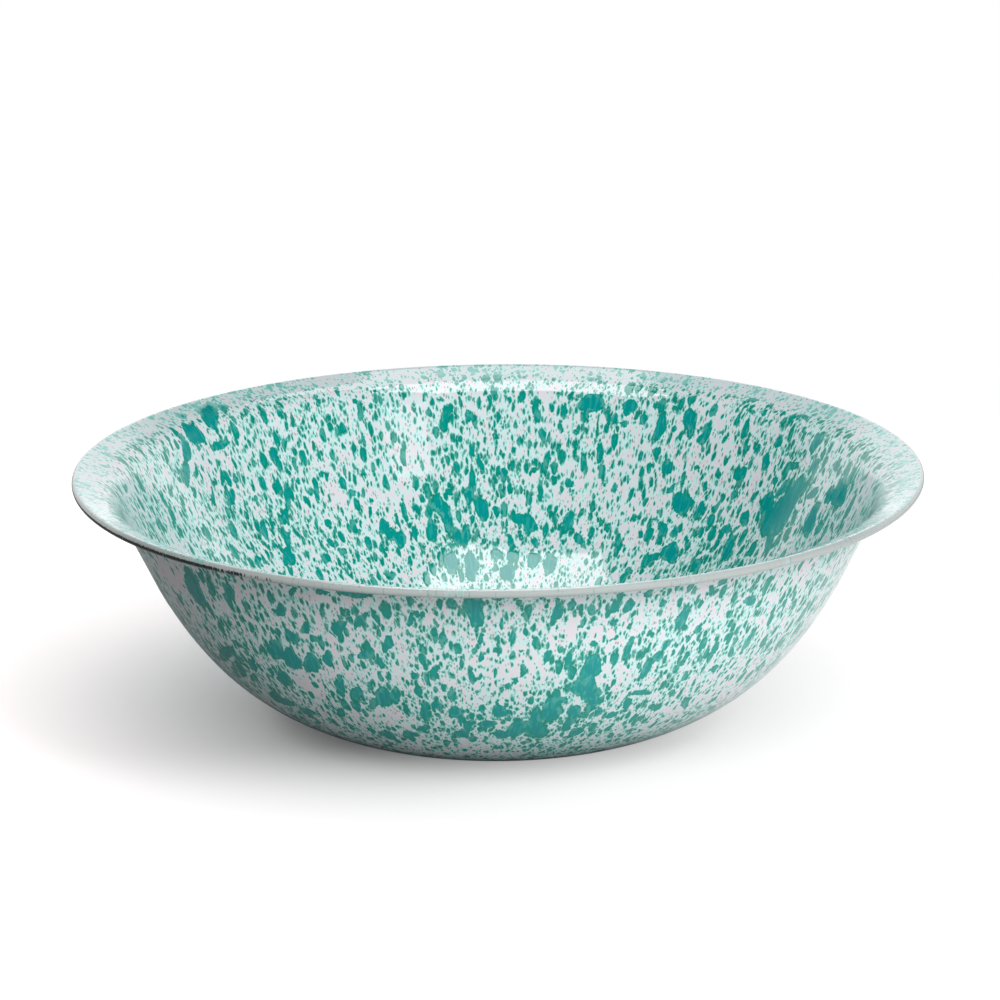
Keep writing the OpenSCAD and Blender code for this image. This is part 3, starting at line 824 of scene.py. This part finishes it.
def enamel_material(name, seed):
    """White enamel with teal flecks of many sizes, mint halos and grey-green specks. The
    bead's edge and underside are darkened in the ground coat's colour, partly where the white
    is thin and partly as painted shade, and the flange is painted paler and mint, with faded
    flecks, as a painted reflection."""
    finish = bpy.context.scene.enamel_finish
    r = Recipe(bpy.data.materials.new(name))
    place = r.held("spread", "Vector")
    splash, crowd, read, rolled, down, bare_and_shaded = map(
        r.held, ("splash", "crowd", "read", "rolled", "down", "bare_and_shaded_edge")
    )
    on_bead, flange = rolled.ease(*BEAD_START), 1.0 - down.ease(*FLANGE_END)
    shifted = r.vector("ADD", place, (seed * 131.0, seed * 57.0, seed * 23.0))
    wander = r.vector("ADD", r.drift(shifted, 0.40, 1.9), r.drift(shifted, 1.5, 0.45))
    ragged = r.vector("ADD", shifted, wander)
    patchy = finish.crowding + 1.6 * (r.noise(shifted, 0.04, 2.0, 0.55) - 0.5) + crowd
    patchy = patchy - 0.5 * on_bead - 0.25 * flange
    fewer = patchy - 0.25 * read
    large = fleck_layer(r, ragged, (0, 0, 0), finish.large_gap, fewer, 0.50, 1.2)
    small = fleck_layer(r, ragged, (37, 11, 5), finish.small_gap, patchy, 0.48, 1.0)
    fine = fleck_layer(r, ragged, (7, 71, 15), finish.fine_gap, patchy, 0.46, 1.0)
    specks = fleck_layer(r, shifted, (17, 41, 9), finish.speck_gap, patchy, 0.44, 1.1)
    big = splash + 3.8 * (r.noise(ragged, 0.42, 3.0, 0.6) - 0.5) - 0.6
    flecks = large.most(small).most(fine).most(big)
    thick = big.ease(*THICK_GLASS)
    cover = 0.80 + 0.3 * r.noise(ragged, 0.45).ease(0.36, 0.56)
    body = flecks.ease(*PAINT_EDGE) * cover.most(thick).least(1.0)
    off_bead = 1.0 - 0.85 * on_bead
    halo = flecks.ease(-finish.halo / MM, 0.05) * off_bead
    bled = flecks.ease(*WASH_EDGE) * off_bead
    cloud = r.noise(shifted, 0.12, 3.0, 0.6)
    ring = r.vector("NORMALIZE", r.vector("MULTIPLY", place, (1, 1, 0)))
    fall = r.node("ShaderNodeCombineXYZ", inputs={"Z": down * 0.09})
    streaks = (r.noise(r.vector("ADD", r.scaled(ring, 150.0), fall), 0.8) - 0.5).ease(0.0, 0.13)
    white = r.blend(on_bead, finish.white, finish.cream)
    # Painted reflection: the flange is tinted mint, as if washed by a mirrored lamp
    white = r.blend(0.3 * flange * (1.0 - on_bead), white, finish.mint)
    white = r.blend(halo * (0.75 + 0.5 * cloud), white, finish.mint)
    white = r.blend(bled * (0.5 + 0.7 * cloud), white, finish.wash)
    white = r.blend(specks.ease(*SPECK_EDGE) * (0.3 + 0.9 * cloud), white, finish.grey)
    green = r.blend(flecks.ease(*FLECK_MIDDLE) * (0.45 + 0.9 * cloud), finish.edge, finish.teal)
    green = r.blend(thick * 0.75, green, finish.deep)
    green = r.blend(thick * streaks * 0.6, green, finish.pale)
    # Painted reflection: flecks on the flange fade towards white, all but the thickest
    base = r.blend(body * (1.0 - 0.72 * flange * (1.0 - thick)), white, green)
    ticks = r.noise(r.vector("MULTIPLY", place, (1.15, 1.15, 0.3)), 1.0, 2.0, 0.6)
    # Painted shade at the bead's edge, partly the dark ground coat showing, broken by ticks
    base = r.blend((bare_and_shaded * 0.6 + ticks - 0.82).ease(-0.03, 0.07), base, finish.dark)
    light_ticks = (ticks - 0.63).ease(0.0, 0.05) * on_bead * (1.0 - rolled.ease(*BEAD_TOP_END))
    base = r.blend(light_ticks * 0.75, base, finish.grey)
    # Painted shade under the bead, in the ground coat's colour, partly the ground coat showing there
    base = r.blend(rolled.ease(*BEAD_UNDERSIDE) * 0.75, base, finish.dark)
    swell, pits = r.noise(place, 0.05, 1.0), r.noise(place, 0.9)
    height = flecks.ease(*FLECK_SWELL) * 0.04 + swell * 0.3 + pits * 0.005
    return fused_glass(r, place, 0.3, base, height)


def glass_material(name, first, second):
    """Fused glass whose colour drifts between two values, with a slow swell."""
    r = Recipe(bpy.data.materials.new(name))
    place = r.object_place()
    base = r.blend(r.noise(place, 120.0, 3.0), first, second)
    return fused_glass(r, place, 300.0, base, r.noise(place, 60.0, 1.0) * 0.3)


def ground_material():
    """Dark ground coat with a fine grain and a few lighter burnt-out points."""
    finish = bpy.context.scene.enamel_finish
    r = Recipe(bpy.data.materials.new("Ground coat"))
    place = r.object_place()
    grain = r.noise(place, 900.0, 3.0)
    burnt = (r.noise(place, 2600.0, 1.0) - 0.66).ease(0.0, 0.05)
    base = r.blend(grain, finish.dark, finish.ground_grain)
    base = r.blend(burnt * 0.5, base, finish.burnt)
    return r.surface(base, grain * 0.15 + 0.2, grain, 0.5, FINE_BUMP, {"Coat Weight": 0.6})


def steel_material():
    """Pressed steel sheet with fine drawing marks and a little scale."""
    finish = bpy.context.scene.enamel_finish
    r = Recipe(bpy.data.materials.new("Pressed steel"))
    place = r.object_place()
    marks = r.noise(r.vector("MULTIPLY", place, (220.0, 220.0, 3000.0)), 1.0, 3.0)
    scale = (r.noise(place, 260.0, 4.0) - 0.5).ease(0.0, 0.2)
    base = r.blend(scale * 0.6, finish.steel, finish.scale)
    metal = {"Metallic": 1.0 - scale * 0.5}
    return r.surface(base, marks * 0.2 + 0.28, marks, 0.4, FINE_BUMP, metal)


def wear(obj, material):
    """Gives an object one material in every slot."""
    if not obj.data.materials:
        obj.data.materials.append(material)
    for slot in obj.material_slots:
        slot.material = material


# Operators


class BOWL_OT_inside_enamel(bpy.types.Operator):
    """Lay the white and teal enamel over the inside, the flange and the bead"""

    bl_idname = "bowl.inside_enamel"
    bl_label = "Inside enamel"

    def execute(self, context):
        form = context.scene.bowl_form
        line = SheetLine(form)
        rng = np.random.default_rng(form.hidden_seed)
        splashes = INSIDE_SPLASHES + hidden_splashes(rng, INSIDE_CLEAR, INSIDE_PER_DEGREE)
        piece = build_skin("enamel_inside", line, "curl", line.coat, form.ground, splashes,
                           INSIDE_CROWDS, INSIDE_SEEN, INSIDE_SEED)
        wear(piece, enamel_material("Inside enamel", INSIDE_SEED))
        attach(piece, "root")
        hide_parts("white_coat_inside", "teal_flecks_inside")
        return {"FINISHED"}


class BOWL_OT_outside_enamel(bpy.types.Operator):
    """Lay the white and teal enamel over the outside, from under the bead to the base"""

    bl_idname = "bowl.outside_enamel"
    bl_label = "Outside enamel"

    def execute(self, context):
        form = context.scene.bowl_form
        line = SheetLine(form)
        rng = np.random.default_rng(form.hidden_seed + 1)
        splashes = OUTSIDE_SPLASHES + hidden_splashes(rng, OUTSIDE_CLEAR, OUTSIDE_PER_DEGREE)
        piece = build_skin("enamel_outside", line, "flange", line.outer, -form.sheet - form.ground,
                           splashes, OUTSIDE_CROWDS, OUTSIDE_SEEN, OUTSIDE_SEED)
        wear(piece, enamel_material("Outside enamel", OUTSIDE_SEED))
        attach(piece, "root")
        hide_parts("white_coat_outside", "teal_flecks_outside")
        return {"FINISHED"}


class BOWL_OT_sheet_and_ground(bpy.types.Operator):
    """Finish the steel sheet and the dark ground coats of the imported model"""

    bl_idname = "bowl.sheet_and_ground"
    bl_label = "Steel and ground coat"

    def execute(self, context):
        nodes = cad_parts
        wear(nodes["steel_shell"], steel_material())
        ground = ground_material()
        for name in ("ground_coat_inside", "ground_coat_outside"):
            wear(nodes[name], ground)
        finish = context.scene.enamel_finish
        coats = {
            "white_coat": glass_material("White coat", finish.white, finish.cream),
            "teal_flecks": glass_material("Teal flecks", finish.edge, finish.teal),
        }
        for name, material in coats.items():
            wear(nodes[name + "_inside"], material)
            wear(nodes[name + "_outside"], material)
        return {"FINISHED"}


# Stretches over which the floor changes, in metres: out from the bowl, to the right, and
# towards the front and the back
PAINT_OUT = (0.30, 0.75)
BOUNCE_OUT = (0.22, 0.55)
BOUNCE_RIGHT = (-0.40, 0.25)
PALER_FRONT = (0.06, 0.18)
PALER_RIGHT = (-0.10, 0.20)
SHADOW_START = 0.35
SHINE_OUT = (0.8, 1.8)
SHINE_RIGHT = (0.05, 0.22)
SHINE_BACK_END = (0.3, 0.6)
# Most of the shadow that is lifted away, as a share
MOST_LIFTED = 0.9


def floor_material(studio):
    """White floor that keeps the bowl's shadow and turns plain white further away."""
    r = Recipe(bpy.data.materials.new("White floor"))
    rays = r.node("ShaderNodeLightPath", out="Is Camera Ray")
    place = r.object_place()
    away = r.vector("LENGTH", place, out="Value")
    across = r.node("ShaderNodeSeparateXYZ", inputs={0: place}, out="X")
    depth = r.other(across, "Y")
    paint = r.blend(away.ease(*PAINT_OUT), studio.near_floor, studio.floor)
    matt = r.node("ShaderNodeBsdfDiffuse", inputs={"Color": paint})
    lift = r.node("ShaderNodeEmission", inputs={"Strength": studio.lift})
    lifted = r.node("ShaderNodeAddShader", inputs={0: matt, 1: lift})
    below = r.blend(away.ease(*BOUNCE_OUT), studio.near_bounce, studio.bounce)
    below = r.blend(across.ease(*BOUNCE_RIGHT), studio.far_bounce, below)
    bounce = r.node("ShaderNodeBsdfDiffuse", inputs={"Color": below})
    near = r.node("ShaderNodeMixShader", inputs={0: rays, 1: bounce, 2: lifted})
    glow = r.node("ShaderNodeEmission", inputs={"Strength": 1.0})
    front = (0.0 - depth).ease(*PALER_FRONT)
    paler = across.ease(*PALER_RIGHT) * studio.right_lift + front * studio.front_lift
    plain = away.ease(SHADOW_START, studio.shadow_reach).most(paler.least(MOST_LIFTED))
    right = across.ease(*SHINE_RIGHT) * (1.0 - depth.ease(*SHINE_BACK_END))
    shine = away.ease(*SHINE_OUT).most(right * studio.right_shine)
    white = (r.other(rays, "Is Glossy Ray") * shine).most(rays * plain)
    return r.finish(r.node("ShaderNodeMixShader", inputs={0: white, 1: near, 2: glow}))


# Stretches of the mirrored room, as parts of a direction: how far back the sweep starts,
# how high it ends, and the horizon
SWEEP_BACK = (0.30, 0.60)
SWEEP_TOP = (0.42, 0.60)
HORIZON = (-0.12, 0.02)
# Brightness of the mirrored room under the horizon, as a share of the sweep's
UNDER_HORIZON = 0.7


def white_room(studio):
    """The room: plain white where it is seen, an even fill on matt surfaces, and for
    mirror rays a white sweep low at the back with a dim room above and in front."""
    world = bpy.data.worlds.new("White room")
    bpy.context.scene.world = world
    r = Recipe(world)
    rays = r.node("ShaderNodeLightPath", out="Is Camera Ray")
    way = r.node("ShaderNodeTexCoord", out="Generated")
    x = r.node("ShaderNodeSeparateXYZ", inputs={0: way}, out="X")
    y, z = r.other(x, "Y"), r.other(x, "Z")
    sweep = y.ease(*SWEEP_BACK) * (1.0 - z.ease(*SWEEP_TOP))
    low = (1.0 - z.ease(*HORIZON)) * UNDER_HORIZON
    mirrored = studio.dim + (studio.sweep - studio.dim) * sweep.most(low)
    level = studio.fill + (mirrored - studio.fill) * r.other(rays, "Is Glossy Ray")
    level = level + (1.0 - level) * rays
    back = r.node("ShaderNodeBackground", inputs={"Strength": level})
    r.finish(back, "ShaderNodeOutputWorld")


def soft_box(name, place, aim, sides, power, lit, turn=0.0, shines=False):
    """A rectangular lamp at a place, facing a point and turned about its own axis. It
    lights what its collection of receivers names, or only shines in glossy surfaces."""
    lamp = bpy.data.lights.new(name, "AREA")
    lamp.shape, lamp.energy = "RECTANGLE", power
    lamp.size, lamp.size_y = sides
    obj = bpy.data.objects.new(name, lamp)
    bpy.context.scene.collection.objects.link(obj)
    way = Vector(aim) - Vector(place)
    turned = way.to_track_quat("-Z", "Y").to_matrix().to_4x4() @ Matrix.Rotation(turn, 4, "Z")
    obj.matrix_world = Matrix.Translation(place) @ turned
    obj.light_linking.receiver_collection = lit
    obj.visible_diffuse, obj.visible_glossy = not shines, shines


# Parts of the overhead box as it is mirrored: the place of the middle and the sides, in
# metres, and the property that holds the power for each square metre
SHINE_PARTS = {
    "front": ((-0.1235, -0.087), (0.93, 0.55), "top_shine"),
    "middle": ((-0.038, 0.355), (0.60, 0.35), "top_shine"),
    "far end": ((0.053, 0.822), (0.45, 0.60), "back_shine"),
}
# The height of these parts in metres, and their turn
SHINE_HEIGHT = 1.3
SHINE_TURN = math.radians(-11)
# Points on the axis that the boxes face, in metres
BOWL_MIDDLE = (0, 0, 0.06)
BOWL_FOOT = (0, 0, 0)


class BOWL_OT_stage(bpy.types.Operator):
    """Set up the floor, the white room, the soft boxes and the camera"""

    bl_idname = "bowl.stage"
    bl_label = "Stage"

    def execute(self, context):
        scene = context.scene
        studio, view = scene.studio, scene.photo_view
        half = studio.floor_size / 2
        corners = [(-half, -half, 0), (half, -half, 0), (half, half, 0), (-half, half, 0)]
        mesh = bpy.data.meshes.new("floor")
        mesh.from_pydata(corners, [], [(0, 1, 2, 3)])
        floor = bpy.data.objects.new("floor", mesh)
        scene.collection.objects.link(floor)
        wear(floor, floor_material(studio))
        white_room(studio)
        floor_only = bpy.data.collections.new("Lit by the floor lamp")
        floor_only.objects.link(floor)
        not_floor = bpy.data.collections.new("Not lit by the soft boxes")
        not_floor.objects.link(floor)
        not_floor.collection_objects[0].light_linking.link_state = "EXCLUDE"
        for name, place, aim, sides, power, lit in (
            ("Top box", (0.1, 0.1, 1.4), BOWL_FOOT, (1.6, 1.6), studio.top_power, not_floor),
            ("Side box", (1.7, -0.55, 0.75), BOWL_MIDDLE, (1.1, 1.1), studio.side_power, not_floor),
            ("Front box", (0.8, -1.8, 0.32), BOWL_MIDDLE, (1.0, 0.6), studio.front_power, not_floor),
            ("High box", (0.55, -1.7, 1.12), BOWL_MIDDLE, (1.2, 0.8), studio.high_power, not_floor),
            ("Back box", (-1.0, 1.35, 0.55), BOWL_MIDDLE, (1.2, 0.8), studio.back_power, not_floor),
            ("Floor lamp", (1.3, -1.2, 2.4), BOWL_FOOT, (1.4, 1.4), studio.ground_power, floor_only),
            ("Overhead floor lamp", (0.4, -0.8, 1.3), (0.4, -0.8, 0), (4.0, 4.0),
             studio.above_power, floor_only),
        ):
            soft_box(name, place, aim, sides, power, lit)
        for part, ((x, y), sides, field) in SHINE_PARTS.items():
            power = getattr(studio, field) * sides[0] * sides[1]
            soft_box("Top box shine, " + part, (x, y, SHINE_HEIGHT), (x, y, 0), sides, power,
                     not_floor, SHINE_TURN, shines=True)
        soft_box("Small box shine", (0.94, -1.36, 1.19), (0, 0, 0.07), (0.42, 0.5),
                 studio.spot_power, not_floor, shines=True)
        up_turn, roll = view.elevation, view.roll
        ahead = Vector((0, math.cos(up_turn), -math.sin(up_turn)))
        right, up = Vector((1, 0, 0)), Vector((0, math.sin(up_turn), math.cos(up_turn)))
        side = right * math.cos(roll) + up * math.sin(roll)
        top = up * math.cos(roll) - right * math.sin(roll)
        data = bpy.data.cameras.new("Photo camera")
        data.sensor_width, data.lens, data.clip_end = 36.0, view.lens, 100.0
        camera = bpy.data.objects.new("Photo camera", data)
        scene.collection.objects.link(camera)
        turn = Matrix((side, top, -ahead)).transposed().to_4x4()
        camera.matrix_world = Matrix.Translation(Vector(view.target) - ahead * view.distance) @ turn
        scene.camera = camera
        scene.view_settings.view_transform = "Standard"
        return {"FINISHED"}


class BOWL_PT_panel(bpy.types.Panel):
    """Sizes, colours and steps of the basin bowl"""

    bl_idname = "BOWL_PT_panel"
    bl_label = "Basin bowl"
    bl_space_type = "VIEW_3D"
    bl_region_type = "UI"
    bl_category = "Bowl"

    def draw(self, context):
        for step in STEPS:
            self.layout.operator(step.bl_idname)
        for name in GROUPS:
            box = self.layout.box()
            group = getattr(context.scene, name)
            for field in group.bl_rna.properties:
                if not field.is_readonly and field.identifier != "name":
                    box.prop(group, field.identifier)


STEPS = (BOWL_OT_inside_enamel, BOWL_OT_outside_enamel, BOWL_OT_sheet_and_ground, BOWL_OT_stage)
GROUPS = {
    "bowl_form": BowlForm, "enamel_finish": EnamelFinish,
    "photo_view": PhotoView, "studio": Studio,
}


def register():
    for cls in (*GROUPS.values(), *STEPS, BOWL_PT_panel):
        bpy.utils.register_class(cls)
    for name, cls in GROUPS.items():
        setattr(bpy.types.Scene, name, PointerProperty(type=cls))


def unregister():
    for name in GROUPS:
        delattr(bpy.types.Scene, name)
    for cls in reversed((*GROUPS.values(), *STEPS, BOWL_PT_panel)):
        bpy.utils.unregister_class(cls)


def main():
    register()
    bpy.ops.bowl.inside_enamel()
    bpy.ops.bowl.outside_enamel()
    bpy.ops.bowl.sheet_and_ground()
    bpy.ops.bowl.stage()


if __name__ == "__main__":
    main()
